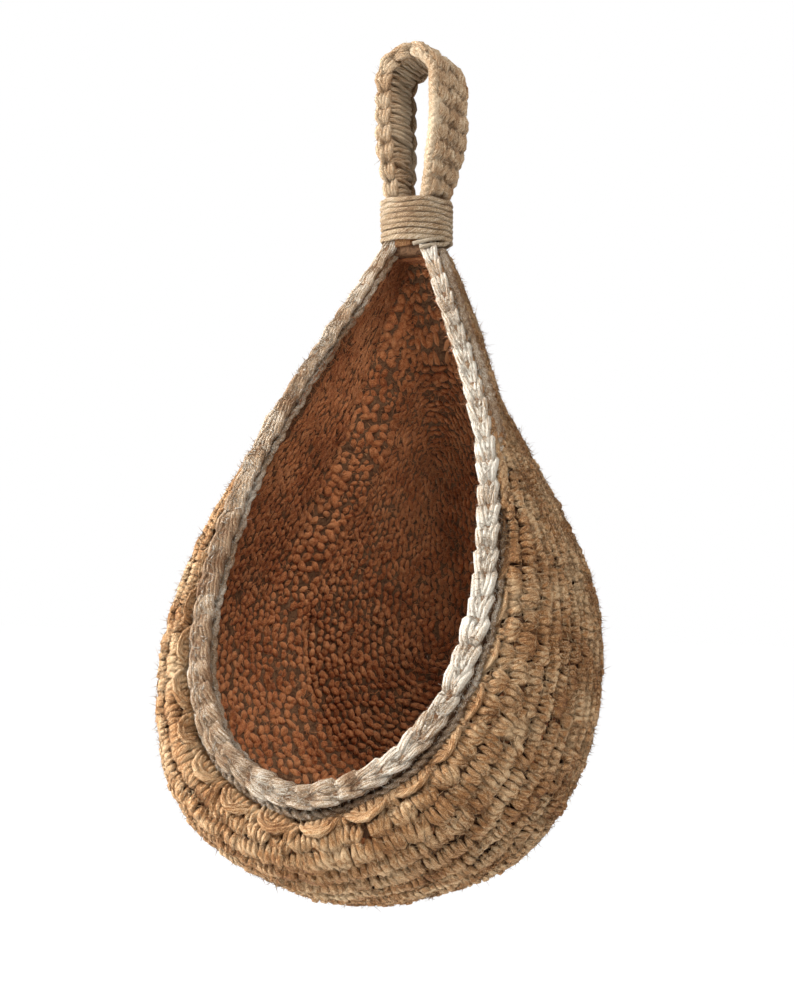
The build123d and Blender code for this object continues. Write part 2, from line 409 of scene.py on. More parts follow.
bag_jute = jute("bag_jute", (0.17, 0.058, 0.015), (0.47, 0.215, 0.072), (0.76, 0.52, 0.29))
# Painted shade: the same twine as the outside, given darker, redder colours for the shaded inside of the bag.
inside_jute_painted_shade = jute("inside_jute_painted_shade", (0.20, 0.056, 0.018), (0.44, 0.146, 0.050), (0.60, 0.26, 0.108), relief=0.6)
# Paler than the bag's jute, though it is the same twine: painted light for the rim that the window lamp
# catches.
rim_jute_painted_light = jute("rim_jute_painted_light", (0.19, 0.085, 0.034), (0.50, 0.33, 0.19), (0.88, 0.80, 0.67))
# Lighter than the bag's jute, though it is the same twine: painted light for the loop, which stands high in the
# light.
strap_jute_painted_light = jute("strap_jute_painted_light", (0.20, 0.088, 0.034), (0.51, 0.305, 0.155), (0.78, 0.61, 0.41))
binding_jute = jute("binding_jute", (0.17, 0.085, 0.038), (0.44, 0.28, 0.145), (0.70, 0.57, 0.41),
                    twist=8, runs=14)
print("jute:", bag_jute.name, inside_jute_painted_shade.name, rim_jute_painted_light.name, strap_jute_painted_light.name, binding_jute.name)

# %% [markdown]
# ## Strands
#
# Every stitch is a few short strands that bulge out of the fabric and dive back into it. A strand
# could be a curve with a round bevel, but a stretched ball with few faces is lighter and tapers by
# itself, and the ball's own map already runs round and along it. It is modelled once per kind of
# stitch, bent to its shape, and copied.

# %% Model one strand
def strand(length, width, height, segments=6, rings=5):
    """A stretched ball lying along Y: one short bulge of twine."""
    bpy.ops.object.select_all(action="DESELECT")
    bpy.ops.mesh.primitive_uv_sphere_add(segments=segments, ring_count=rings, radius=0.5)
    piece = bpy.context.object
    piece.data.uv_layers[0].name = "strand"
    bpy.ops.object.mode_set(mode="EDIT")
    bpy.ops.mesh.select_all(action="SELECT")
    bpy.ops.transform.rotate(value=math.pi / 2, orient_axis="X", center_override=(0, 0, 0))
    bpy.ops.transform.resize(value=(width, length, height), center_override=(0, 0, 0))
    bpy.ops.object.mode_set(mode="OBJECT")
    bpy.ops.object.shade_smooth()
    return piece


def read_shape(piece):
    """A modelled shape's points, faces and map, for laying copies of it. The model is then removed."""
    mesh = piece.data
    points = np.array([vertex.co[:] for vertex in mesh.vertices])
    faces = [list(face.vertices) for face in mesh.polygons]
    strand_map = np.array([loop.uv[:] for loop in mesh.uv_layers["strand"].data])
    bpy.data.objects.remove(piece, do_unlink=True)
    return {"points": points, "faces": faces, "map": strand_map}


def bent(shape, path, steps=33):
    """A straight strand's shape, moved on to a path of (along, across, height) points."""
    points = shape["points"]
    low, high = points[:, 1].min(), points[:, 1].max()
    share = (points[:, 1] - low) / (high - low)
    line = smooth_line(path, steps)
    far = np.linspace(0, 1, steps)
    way = np.gradient(line, axis=0)
    side = unit(np.stack([way[:, 1], -way[:, 0], np.zeros(steps)], axis=1))
    moved = read_line(share, far, line) + read_line(share, far, side) * points[:, :1]
    moved[:, 2] += points[:, 2]
    return {**shape, "points": moved}


def in_shares(shape, wide, high):
    """A shape drawn in metres, as shares of a stitch this wide and high."""
    return {**shape, "points": shape["points"] / np.array([wide, high, 1])}


def mirrored(path):
    """The same path on the other side."""
    return [(-along, across, height) for along, across, height in path]


def together(shapes):
    """Several shapes as one."""
    faces, start = [], 0
    for shape in shapes:
        faces += [[corner + start for corner in face] for face in shape["faces"]]
        start += len(shape["points"])
    points = np.vstack([shape["points"] for shape in shapes])
    return {"points": points, "faces": faces, "map": np.vstack([shape["map"] for shape in shapes])}


print("a strand can be modelled, bent and joined")

# %% [markdown]
# ## Cords
#
# A twisted cord is unbroken, so it is drawn as rings of points along a line: one round strand for
# each ply, wound about the cord's middle. A bevelled curve would do for one strand, but its map
# could not count the turns of the plies.

# %% Draw round strands and twisted cords
# A direction that no cord runs along, so that its turns can be measured from it.
across_cords = np.array([0.31, 0.9, 0.3])
ply_share = 0.62


def ring_faces(rings, sides):
    """The faces of a closed tube: the bands between its rings of points, then its two ends."""
    bands = [[ring * sides + here, ring * sides + (here + 1) % sides,
              (ring + 1) * sides + (here + 1) % sides, (ring + 1) * sides + here]
             for ring in range(rings - 1) for here in range(sides)]
    return bands + [list(range(sides))[::-1], [(rings - 1) * sides + here for here in range(sides)]]


def rings_round(line, ways, other_ways, radius, sides):
    """Rings of points round a line, each in the plane of two directions."""
    angles = np.linspace(0, 2 * math.pi, sides, endpoint=False)[None, :, None]
    radius = np.broadcast_to(radius, (len(line),))[:, None, None]
    rings = line[:, None] + radius * (ways[:, None] * np.cos(angles) + other_ways[:, None] * np.sin(angles))
    return rings.reshape(-1, 3)


def tube(points, sides, round_map, ring_map):
    """A closed tube through rings of points. Its map counts the corners of a ring and the rings."""
    faces = ring_faces(len(points) // sides, sides)
    corners = np.array([corner for face in faces for corner in face])
    corner_map = np.stack([corners % sides / sides * round_map, corners // sides * ring_map], axis=1)
    return {"points": np.array(points), "faces": faces, "map": corner_map}


def round_strand(line, radius, sides, step_map=0.35, flatness=None):
    """An unbroken strand along a line of points, closed at both ends. Where flatness is given, it
    is wide up and down and thin outward, as twine that is wound tight."""
    ways = unit(np.gradient(line, axis=0))
    side = unit(np.cross(ways, across_cords))
    other = np.cross(ways, side)
    if flatness:
        side = np.tile([0.0, 0.0, 1.0], (len(line), 1)) / flatness
        other = np.cross(ways, side) * flatness ** 2
    points = rings_round(line, side, other, radius, sides)
    corner_map = [((here + right) / sides, (ring + up) * step_map)
                  for ring in range(len(line) - 1) for here in range(sides)
                  for right, up in ((0, 0), (1, 0), (1, 1), (0, 1))]
    corner_map += [(0.5, 0.0)] * 2 * sides
    return {"points": points, "faces": ring_faces(len(line), sides), "map": np.array(corner_map)}


def twisted_cord(line, radius, pitch, plies=2, sides=8, steps_per_turn=14):
    """A cord of twisted plies along a line, each ply an unbroken round strand."""
    far = distances(line)
    places = np.linspace(0, far[-1], int(far[-1] / pitch * steps_per_turn))
    middle = read_line(places, far, line)
    way = read_line(places, far, unit(np.gradient(line, axis=0)))
    side = unit(np.cross(way, across_cords))
    other = np.cross(way, side)
    ply_radius = radius * ply_share
    shapes = []
    for ply in range(plies):
        turn = 2 * math.pi * (places / pitch + ply / plies)[:, None]
        centre = middle + (radius - ply_radius) * (side * np.cos(turn) + other * np.sin(turn))
        shapes.append(round_strand(centre, ply_radius, sides))
    return together(shapes)


print("cords can be twisted")

# %% [markdown]
# ## Laying stitches
#
# A shape is laid many times and then becomes one mesh, with one map and one tone per copy, because
# a thousand separate stitches would be a thousand objects. A slow smooth push moves all points a
# little, so that no two stitches are quite alike.

# %% Turn laid copies into one object
waves = 7
wave_ways = unit(random.normal(0, 1, (waves, 3))) * (2 * math.pi / random.uniform(6 * mm, 16 * mm, (waves, 1)))
wave_pushes = random.normal(0, 0.5, (waves, 3))
wave_starts = random.uniform(0, 2 * math.pi, waves)
# How far a copy's tone moves its map, so that no two copies show the same streaks.
map_shift = 9


def uneven(points, amount):
    """The same points pushed about smoothly, so that no two stitches are quite alike."""
    return points + amount * np.sin(points @ wave_ways.T + wave_starts) @ wave_pushes


def turned_inside_out(shape, laid):
    """For each copy, whether its faces point inward, from the sign of its volume."""
    corners = [(face[0], *face[here:here + 2]) for face in shape["faces"] for here in range(1, len(face) - 1)]
    a, b, c = (laid[:, places] for places in np.array(corners).T)
    middle = laid.mean(axis=1, keepdims=True)
    return np.einsum("ijk,ijk->i", a - middle, np.cross(b - middle, c - middle)) < 0


def reversed_shape(shape):
    """A shape's faces and map, with each face's corners in the opposite order."""
    found, start = [], 0
    for face in shape["faces"]:
        found.append(shape["map"][start:start + len(face)][::-1])
        start += len(face)
    return [face[::-1] for face in shape["faces"]], np.vstack(found)


def make_object(name, groups, material, body, unevenness=0.4 * mm):
    """One object from groups of laid copies: each a shape, its points per copy and a tone per copy."""
    points, faces, strand_map, tones, start = [], [], [], [], 0
    for shape, laid, tone in groups:
        copies, corners = laid.shape[:2]
        laid = uneven(laid, unevenness)
        points.append(laid.reshape(-1, 3))
        plain = (shape["faces"], shape["map"])
        turned = reversed_shape(shape)
        for copy, flip in enumerate(turned_inside_out(shape, laid)):
            copy_faces, copy_map = turned if flip else plain
            shift = start + copy * corners
            faces += [[corner + shift for corner in face] for face in copy_faces]
            strand_map.append(copy_map + [0, tone[copy] * map_shift])
        tones.append(np.repeat(tone, corners))
        start += copies * corners
    mesh = bpy.data.meshes.new(name)
    mesh.from_pydata(np.vstack(points).tolist(), [], faces)
    layer = mesh.uv_layers.new(name="strand")
    layer.data.foreach_set("uv", np.vstack(strand_map).ravel())
    attribute = mesh.attributes.new("tone", "FLOAT", "POINT")
    attribute.data.foreach_set("value", np.concatenate(tones))
    mesh.polygons.foreach_set("use_smooth", [True] * len(mesh.polygons))
    mesh.materials.append(material)
    piece = bpy.data.objects.new(name, mesh)
    bpy.context.scene.collection.objects.link(piece)
    if body:
        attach(piece, body)
    triangles = sum(len(polygon.vertices) - 2 for polygon in mesh.polygons)
    print(name, "has", sum(len(laid) for _, laid, _ in groups), "copies and", triangles, "triangles")
    return piece


def bag_piece(name, groups, material=bag_jute):
    """One object of the bag's own fabric."""
    return make_object(name, groups, material, "basket")


def one_copy(shape, tone):
    """A group of one: a shape that already lies in its place."""
    return shape, shape["points"][None], np.array([tone])


print("laid copies can become objects")

# %% Lay copies on a field
hidden_above = -neck_foot - 2.5 * mm
any_room = (0, 99)
# How much the size, the turn, the height and the tone of laid stitches differ.
size_spread = 0.07
turn_spread = 0.10
height_spread = 0.3 * mm
tone_spread = 0.05


def shows(places, field, top=hidden_above):
    """Which places show: the bag's tops are hidden in the neck, and the strap shows all along."""
    return places[:, 2] < field.get("hidden_above", top)


def versions_of(recipe, count, across_jitter=0.04, height_jitter=0.35 * mm):
    """Several versions of a stitch. A recipe is a list of (strand shape, path); each version moves
    the path's points a little."""
    made = []
    for _ in range(count):
        parts = []
        for shape, path in recipe:
            path = np.array(path, float)
            path[:, :2] += random.normal(0, across_jitter, (len(path), 2))
            path[:, 2] += random.normal(0, height_jitter, len(path))
            parts.append(bent(shape, path))
        made.append(together(parts))
    return made


def stitch_places(field, spots, count, row, rows):
    """For each spot of a round: its place, its three directions, and its stitch's width and height."""
    middle = (row + 0.5) / rows
    centre, normal = sample(field, spots, middle)
    before, after = (sample(field, spots + step / count, middle)[0] for step in (-0.5, 0.5))
    near, far = (sample(field, spots, border / rows)[0] for border in (row, row + 1))
    along_way = after - before
    wide = np.linalg.norm(along_way, axis=1, keepdims=True)
    along_way /= wide + 1e-9
    across_way = np.cross(normal, along_way)
    high = np.sum((near - far) * across_way, axis=1, keepdims=True)
    across_way = np.where(high < 0, -across_way, across_way)
    return centre, along_way, across_way, normal, wide, np.abs(high)


def lay(shape, field, rows, pitch, side=1.0, depth=0.0, first=0, last=None, wander=0.05, squeeze=True,
        top=hidden_above, rooms=any_room):
    """Lay a flat stitch at every place of some rounds, picked at random where there are several
    versions. Its points are shares of a stitch along and across, and a height. Places inside the
    neck are left out, and so are those where a round's height, as a share of the mean, is outside
    the given rooms. Returns the points per copy and a tone per copy."""
    shapes = shape if isinstance(shape, list) else [shape]
    versions = np.stack([version["points"] for version in shapes])
    laid, tones = [], []
    for row in range(first, rows if last is None else last):
        middle = (row + 0.5) / rows
        length = np.interp(middle, field["across"] / field["across"][-1], field["lengths"])
        count = max(int(round(length / pitch)), 3)
        spots = (np.arange(count) + 0.5 + random.normal(0, wander, count)) / count
        spots = spots[shows(sample(field, spots, middle)[0], field, top)]
        kept = len(spots)
        centre, along_way, across_way, normal, wide, high = stitch_places(field, spots, count, row, rows)
        room = high * rows / field["across"][-1]
        size = 1 + random.normal(0, size_spread, (kept, 1))
        turn = random.normal(0, turn_spread, (kept, 1))
        drift = random.normal(0, wander, (kept, 1)) * high
        flat = versions[random.integers(len(versions), size=kept)]
        along = flat[:, :, 0] * wide * size
        across = (flat[:, :, 1] - 0.5) * high * size + drift
        height = flat[:, :, 2] * size + random.normal(0, height_spread, (kept, 1))
        if squeeze:
            height = height * np.clip(room, 0.25, 1) ** 0.6
        height = height + depth
        along, across = along + across * turn, across - along * turn
        placed = (centre[:, None] + along_way[:, None] * along[..., None]
                  + across_way[:, None] * across[..., None] + normal[:, None] * side * height[..., None])
        fits = (room[:, 0] >= rooms[0]) & (room[:, 0] < rooms[1])
        laid.append(placed[fits])
        tones.append(random.normal(0, tone_spread, kept)[fits])
    return np.concatenate(laid), np.concatenate(tones)


print("stitches can be laid on a field")

# %% [markdown]
# ## The right side of single crochet
#
# Seen from outside, each stitch is a V: two legs rise from one small dark hole and open towards the
# rim, and the next round's hole sits in the mouth of the V. Each leg is a pair of yarns side by
# side, bent left or right. The strand is modelled once and bent four times, because a V made as one
# solid shape would have no dark seam between its yarns. Nine versions keep the rounds from looking
# stamped.

# %% Model the V stitch
stitch_pitch = 12 * mm
row_pitch = 11 * mm
front_loops_top = -neck_foot - 130 * mm
wall_rows = int(round(wall_field["across"][-1] / row_pitch))
back_rows = int(round(back_field["across"][-1] / row_pitch))

yarn = read_shape(strand(1.0, 0.38, 3.4 * mm, segments=5, rings=5))
outer_leg = [(0.08, -0.04, -4.2 * mm), (0.21, 0.14, -2.1 * mm), (0.34, 0.42, -1.2 * mm),
             (0.40, 0.78, -1.2 * mm), (0.40, 1.10, -3.4 * mm)]
inner_leg = [(0.03, 0.00, -4.2 * mm), (0.08, 0.20, -2.0 * mm), (0.13, 0.50, -0.9 * mm),
             (0.15, 0.82, -1.0 * mm), (0.16, 1.12, -3.2 * mm)]
legs = (outer_leg, inner_leg, mirrored(outer_leg), mirrored(inner_leg))
v_stitch = versions_of([(yarn, path) for path in legs], 9)
print("a V stitch has", len(v_stitch[0]["faces"]), "faces;", wall_rows, "rounds on the wall")

# %% Crochet the outside of the wall and the back
wall_laid, wall_tones = lay(v_stitch, wall_field, wall_rows, stitch_pitch)
wall_shares = wall_field["across"] / wall_field["across"][-1]
first_size = int(round(np.interp(0.5 / wall_rows, wall_shares, wall_field["lengths"]) / stitch_pitch))
after_first = np.arange(len(wall_laid)) >= first_size
high_enough = wall_laid[:, :, 2].mean(axis=1) > front_loops_top
kept = after_first | high_enough
bag_piece("wall_stitches", [(v_stitch[0], wall_laid[kept], wall_tones[kept])])
back_laid = lay(v_stitch, back_field, back_rows, stitch_pitch, squeeze=False)
bag_piece("back_stitches", [(v_stitch[0], *back_laid)])

# %% [markdown]
# ## The wrong side of single crochet
#
# Inside the bag the same stitches show their backs: a small level knot over two short slanting
# strands, so that the inside looks pebbled. The knots are smaller and flatter than the legs outside.
# Where the rounds run up beside the back they are taller, and one knot stretched over them would
# look like a petal. There smaller knots are laid in rounds of half the height.

# %% Model the pebbled inside and lay it
knot = read_shape(strand(1.0, 0.46, 2.7 * mm, segments=5, rings=4))


def knot_path(along, across, turn, half=0.34):
    """A short path along the round for one bump of the wrong side."""
    cosine, sine = half * math.cos(turn), half * math.sin(turn)
    return [(along - cosine, across - sine, -0.8 * mm), (along, across, 0.0),
            (along + cosine, across + sine, -0.8 * mm)]


bumps = [(-0.26, 0.80, 0.6), (0.24, 0.74, -0.5), (0.0, 0.28, 0.4), (0.5, 0.22, -0.7)]
pebble = versions_of([(knot, knot_path(*bump)) for bump in bumps], 9, 0.045, 0.2 * mm)
inside_depth = fabric_thickness - 1.9 * mm
inside_top = -neck_foot + 1.5 * mm
tall_round = 1.15
front_inner = lay(pebble, wall_field, wall_rows, 10 * mm, side=-1, depth=inside_depth, first=1, last=5,
                  wander=0.06, top=-neck_foot - 100 * mm)
wall_inner = lay(pebble, wall_field, wall_rows, 10 * mm, side=-1, depth=inside_depth, first=5,
                 wander=0.06, top=inside_top, rooms=(0, tall_round))
bag_piece("inside_pebbles", [(pebble[0], *front_inner), (pebble[0], *wall_inner)], inside_jute_painted_shade)
back_inner = lay(pebble, back_field, int(back_rows * 1.3), 9 * mm, side=-1, depth=inside_depth, squeeze=False)
bag_piece("back_pebbles", [(pebble[0], *back_inner)], inside_jute_painted_shade)

# %% Lay smaller knots where the rounds are tall
small_knot = read_shape(strand(1.0, 0.46, 1.9 * mm, segments=5, rings=4))
small_pebble = versions_of([(small_knot, knot_path(*bump)) for bump in bumps], 9, 0.06, 0.2 * mm)
tall_inner = lay(small_pebble, wall_field, 2 * wall_rows, 7 * mm, side=-1, depth=inside_depth, first=10,
                 wander=0.07, top=inside_top, rooms=(tall_round, any_room[1]))
bag_piece("small_pebbles", [(small_pebble[0], *tall_inner)], inside_jute_painted_shade)

# %% [markdown]
# ## The ground between the stitches
#
# Between and behind the strands lies more twine, packed tight. One thin shell down the middle of
# the fabric stands for it and keeps the bag closed. Its colours are far darker than the twine's own,
# as painted shade for the deep slits between the stitches. It is a grid thickened with a modifier,
# and a short mottled noise is enough for its finish, because only slits of it show. A few faces are
# left out of the back, where the real fabric lets pinholes of light through.

# %% Define the imported twine
def packed_twine(name, dark, light):
    """Twine packed between the stitches: short mottled fibres with no strand of their own."""
    material, tree = new_material(name)
    place = add_node(tree, "TexCoord").outputs["Object"]
    fibres = noise(tree, place, 420, 5, distortion=1.5)
    color = add_ramp(tree, fibres, [(0.35, dark), (0.7, light)])
    add_surface(tree, color, fibres, 0.6, 0.6 * mm, {"Roughness": 0.9, "Specular IOR Level": 0.15})
    return material


# Far darker than the strands' jute: painted shade for the slits between the stitches, where the packed twine
# lies in shadow.
ground_jute_painted_shade = packed_twine("ground_jute_painted_shade", (0.058, 0.026, 0.012), (0.20, 0.105, 0.052))
print("ground:", ground_jute_painted_shade.name)

# %% Make the ground shells
ground_depth = 3.3 * mm
ground_thickness = 1.6 * mm


def ground(name, field, rows, columns, holes=0, lip=None):
    """A thin shell down the middle of the fabric. A lip, where given, is one more round before it."""
    along, across = np.meshgrid(np.linspace(0, 1 - 1e-9, columns), np.linspace(0, 1, rows))
    places, normals = sample(field, along, across)
    points = (places - normals * ground_depth).reshape(-1, 3)
    if lip is not None:
        points = np.vstack([lip, points])
        rows += 1
    faces = [[row * columns + column, row * columns + column + 1,
              (row + 1) * columns + column + 1, (row + 1) * columns + column]
             for row in range(rows - 1) for column in range(columns - 1)]
    left_out = set(random.choice(len(faces), holes, replace=False)) if holes else set()
    faces = [face for here, face in enumerate(faces) if here not in left_out]
    mesh = bpy.data.meshes.new(name)
    mesh.from_pydata(points.tolist(), [], faces)
    piece = bpy.data.objects.new(name, mesh)
    bpy.context.scene.collection.objects.link(piece)
    bpy.ops.object.select_all(action="DESELECT")
    bpy.context.view_layer.objects.active = piece
    piece.select_set(True)
    bpy.ops.object.mode_set(mode="EDIT")
    bpy.ops.mesh.select_all(action="SELECT")
    bpy.ops.mesh.remove_doubles(threshold=0.00005)
    bpy.ops.mesh.normals_make_consistent(inside=False)
    bpy.ops.object.mode_set(mode="OBJECT")
    thick = piece.modifiers.new("thick", "SOLIDIFY")
    thick.thickness = ground_thickness
    bpy.ops.object.modifier_apply(modifier="thick")
    bpy.ops.object.shade_smooth()
    print(name, "has", len(piece.data.polygons), "faces")
    return piece


wall_ground = ground("wall_ground", wall_field, rows=49, columns=193, lip=closed_round(mouth_loop(), 193))
back_ground = ground("back_ground", back_field, rows=31, columns=161, holes=10)
for piece, node in ((wall_ground, "bag_wall"), (back_ground, "back_panel")):
    piece.data.materials.append(ground_jute_painted_shade)
    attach(piece, "basket")
    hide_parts(node)

# %% [markdown]
# ## The braided rim
#
# The last round is slip stitches, which lie on the edge as a chain: each link is two legs that meet
# in a V, and the next link comes out of the mouth of the last. It is laid along the mouth's own line
# on a plain round core, which is the edge of the fabric rolled inside it. The strands that the chain
# is worked into run beside it as twisted cords, two outside the mouth and one inside.

# %% Draw the rim's line and its directions
def line_frame(line, out_ways):
    """A line with two directions at each point, both square to it: outward and sideways."""
    ways = unit(np.gradient(line, axis=0))
    out_ways = unit(out_ways - ways * np.sum(out_ways * ways, axis=1, keepdims=True))
    return line, out_ways, np.cross(ways, out_ways)


def raised(points, rise):
    """The same loop with its two tops drawn up into the neck."""
    points = points.copy()
    for top, inner in ((0, 1), (-1, -2)):
        way = points[top] - points[inner]
        points[top] += way / way[2] * rise
    return points


rim_points = 400
rim_rise = 8 * mm
rim_line = smooth_line(raised(mouth_loop(), rim_rise), rim_points)
lowest = rim_line[rim_points // 2]
mouth_normal = unit(np.cross([1, 0, 0], [0, *(rim_line[0] - lowest)[1:]]))
mouth_normal = mouth_normal if mouth_normal[1] < 0 else -mouth_normal
rim_frame = line_frame(rim_line, np.tile(mouth_normal, (rim_points, 1)))
rim_out_ways, rim_side_ways = rim_frame[1:]
rim_out = 1 if np.dot(rim_side_ways[rim_points // 2], (0, 0, -1)) > 0 else -1
rim_widths = np.interp(np.linspace(0, 1, rim_points), [0, 0.06, 0.28, 0.72, 0.94, 1],
                       [0.70, 0.74, 1, 1, 0.74, 0.70])
print("rim faces", mouth_normal.round(2), "and its outer side is", rim_out)

# %% Lay copies along a line
def lay_on_line(shape, frame_of_line, pitch, end=1.0, wander=0.04, widths=None):
    """Lay copies along a line, up to an end share of it. A shape's points are a share of the pitch
    along the line, then metres sideways and outward from the line's middle."""
    far = distances(frame_of_line[0])
    length = far[-1] * end
    count = int(round(length / pitch))
    laid, tones = [], []
    for copy in range(count):
        wobble = random.normal(0, wander)
        size = 1 + random.normal(0, 0.05)
        along = np.clip((copy + 0.5 + wobble + shape["points"][:, 1]) / count * length, 0, far[-1])
        spot, out, side = (read_line(along, far, values) for values in frame_of_line)
        if widths is not None:
            size *= np.interp(along / far[-1], np.linspace(0, 1, len(widths)), widths)[:, None]
        laid.append(spot + side * (shape["points"][:, :1] * size) + out * (shape["points"][:, 2:] * size))
        tones.append(random.normal(0, 0.04))
    return np.array(laid), np.array(tones)


print("shapes can be laid along a line")

# %% Model a link of the chain and the rim's core
link_pitch = 11.4 * mm
link_yarn = read_shape(strand(1.0, 3.3 * mm, 3.2 * mm, segments=6, rings=6))


def link(side, offsets, reach=3.0):
    """Some yarns of a link side by side, from the middle of the chain outward to a side."""
    yarns = []
    for offset in offsets:
        low = 0.25 * abs(offset)
        yarns.append(bent(link_yarn, [
            (side * (0.2 + 0.6 * offset) * mm, -0.72 - 0.05 * offset, 0.6 * mm),
            (side * (1.2 + offset) * mm, -0.42 - 0.05 * offset, (3.2 - low) * mm),
            (side * (0.8 * reach + offset) * mm, 0.02, (4.0 - low) * mm),
            (side * (reach + 0.4 + offset) * mm, 0.45, (2.9 - low) * mm),
            (side * (0.5 * reach + 0.7 * offset) * mm, 0.92, 0.5 * mm)]))
    return together(yarns)


def rim_core(radius, sides, rings):
    """A plain round core along the rim."""
    picks = np.linspace(0, rim_points - 1, rings).astype(int)
    points = rings_round(*(values[picks] for values in (*rim_frame, radius * rim_widths)), sides)
    return tube(points, sides, 1, 0.35)


chain_link = together([link(rim_out, (-1.0, 1.1)), link(-rim_out, (-1.3, 0.8, 2.3), reach=2.4)])
print("a link has", len(chain_link["faces"]), "faces")

# %% Lay the rim's chain and its cords
# Painted light and shade: each link's tone rises with its place to the right, so the links grow lighter on the
# right of the mouth, which the lamp lights, and darker on the left, which lies in shade.
rim_painted_light_per_metre = 2.2
cord_offset = 6.4 * mm
cord_steps = 8
links_laid, link_tones = lay_on_line(chain_link, rim_frame, link_pitch, wander=0.05, widths=rim_widths)
link_tones += links_laid[:, :, 0].mean(axis=1) * rim_painted_light_per_metre
outer_side = rim_out * cord_offset * rim_side_ways * rim_widths[:, None]
rim_cords = []
for beside, depth, radius, pitch, steps, tone in (
        (0.98, 2.2 * mm, 2.1 * mm, 10 * mm, cord_steps, -0.10),
        (1.10, 5.2 * mm, 2.1 * mm, 10 * mm, cord_steps, -0.22),
        (-0.74, 2.2 * mm, 1.9 * mm, 14 * mm, 14, -0.08)):
    cord_line = rim_line + outer_side * beside - depth * rim_out_ways
    rim_cords.append(one_copy(twisted_cord(cord_line, radius, pitch, sides=6, steps_per_turn=steps), tone))
rim_braid = make_object("rim_braid", [
    (chain_link, links_laid, link_tones), *rim_cords, one_copy(rim_core(3.7 * mm, 12, 160), -0.25)],
    rim_jute_painted_light, "basket")
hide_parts("mouth_edging")

# %% [markdown]
# ## The front loops under the rim
#
# The first round below the rim was worked through the back of the stitches only. That leaves the
# front strands free. Under the lower rim they hang as a row of wide U shapes that stand out of the
# fabric, each two yarns bent alike with the posts of its stitches inside. Beside the upper rim they
# are drawn tight, and a twisted cord on each side stands for them.

# %% Model a front loop and the posts inside it
u_pitch = 22.0 * mm
u_yarn = read_shape(strand(1.0, 3.2 * mm, 3.0 * mm, segments=6, rings=10))
u_yarn["map"] = u_yarn["map"] * [1, 3.2]
u_path = [(-10.2 * mm, 11.5 * mm, -2.4 * mm), (-9.2 * mm, 6.6 * mm, -0.4 * mm), (-5.6 * mm, 1.4 * mm, 0.2 * mm),
          (0.6 * mm, -0.8 * mm, 0.3 * mm), (6.2 * mm, 1.8 * mm, 0.1 * mm), (8.8 * mm, 6.0 * mm, -0.5 * mm),
          (9.8 * mm, 11.0 * mm, -3.0 * mm)]
inner_u_path = [(along * 0.76, across * 0.86 + 2.2 * mm, height - 0.4 * mm) for along, across, height in u_path]
post_yarn = read_shape(strand(1.0, 4.0 * mm, 4.2 * mm, segments=5, rings=5))
posts = [bent(post_yarn, [
    (place * mm, 0.2 * mm, -3.4 * mm), (place * 0.92 * mm, 5.5 * mm, -1.0 * mm),
    (place * 1.03 * mm, 12.0 * mm, -3.2 * mm)]) for place in (-5.2, -1.8, 1.6, 5.0, 9.3, 12.6)]
u_parts = [bent(u_yarn, u_path), bent(u_yarn, inner_u_path), *posts]
u_shape = in_shares(together(u_parts), u_pitch, row_pitch)
print("a front loop has", len(u_shape["faces"]), "faces")

# %% Lay the front loops and the cords above them
u_laid, u_tones = lay(u_shape, wall_field, wall_rows, u_pitch, last=1, wander=0.04)
low = u_laid[:, :, 2].mean(axis=1) < front_loops_top
round_points = 721
first_round, _ = sample(wall_field, np.linspace(0, 1 - 1e-9, round_points), 0.6 / wall_rows)
upper = (first_round[:, 2] > front_loops_top - 8 * mm) & (first_round[:, 2] < -neck_foot - mm)
upper_cords = [one_copy(twisted_cord(first_round[upper & (first_round[:, 0] * side > 0)], 2.3 * mm, 13 * mm,
                                     sides=6, steps_per_turn=cord_steps), -0.06) for side in (-1, 1)]
bag_piece("front_loops", [(u_shape, u_laid[low], u_tones[low] - 0.02), *upper_cords])

# %% [markdown]
# ## The hanging loop
#
# The strap is crocheted too, and folded to a loop with both ends in the neck. Its outer face shows
# a column of Vs between two columns of long yarns, and its inner face shows level ribs. Its edges
# are chains, except that the front edge of the right leg is a twisted cord. All of it is laid on a
# field of its own, which follows the loop's middle line from one foot, over the crown, to the other.

# %% Draw the strap's line
strap_width = 36 * mm
strap_foot_width = 23 * mm
strap_thickness = 8 * mm
loop_width = 37 * mm
loop_lean = 3 * mm
loop_spread_drop = 36 * mm
strap_foot_drop = 78 * mm
strap_foot_half = 7.5 * mm
strap_points = 361

leg_half = (loop_width - strap_thickness) / 2
crown_height = strap_thickness - loop_width / 2
crown_turns = np.linspace(math.pi, 0, 9)
crown = [(loop_lean + leg_half * math.cos(turn), crown_height + leg_half * math.sin(turn))
         for turn in crown_turns]
neck_entry = (leg_half + strap_foot_half) / 2
left_side = [(-strap_foot_half, -strap_foot_drop), (-neck_entry + loop_lean / 3, -neck_top + 8 * mm),
             (loop_lean - leg_half, -loop_spread_drop)]
right_side = [(loop_lean + leg_half, -loop_spread_drop), (neck_entry + loop_lean / 3, -neck_top + 8 * mm),
              (strap_foot_half, -strap_foot_drop)]
strap_line = smooth_line([(x, 0, z) for x, z in left_side + crown + right_side], strap_points)
print("strap line from", strap_line[0].round(3), "to", strap_line[-1].round(3))

# %% Make the strap's two fields
strap_field_rows = 13


def strap_half_width(height):
    """Half the strap's width at a height: full on the legs, drawn narrower at the neck."""
    return np.interp(height, [-neck_top, -loop_spread_drop - 6 * mm], [strap_foot_width / 2, strap_width / 2])


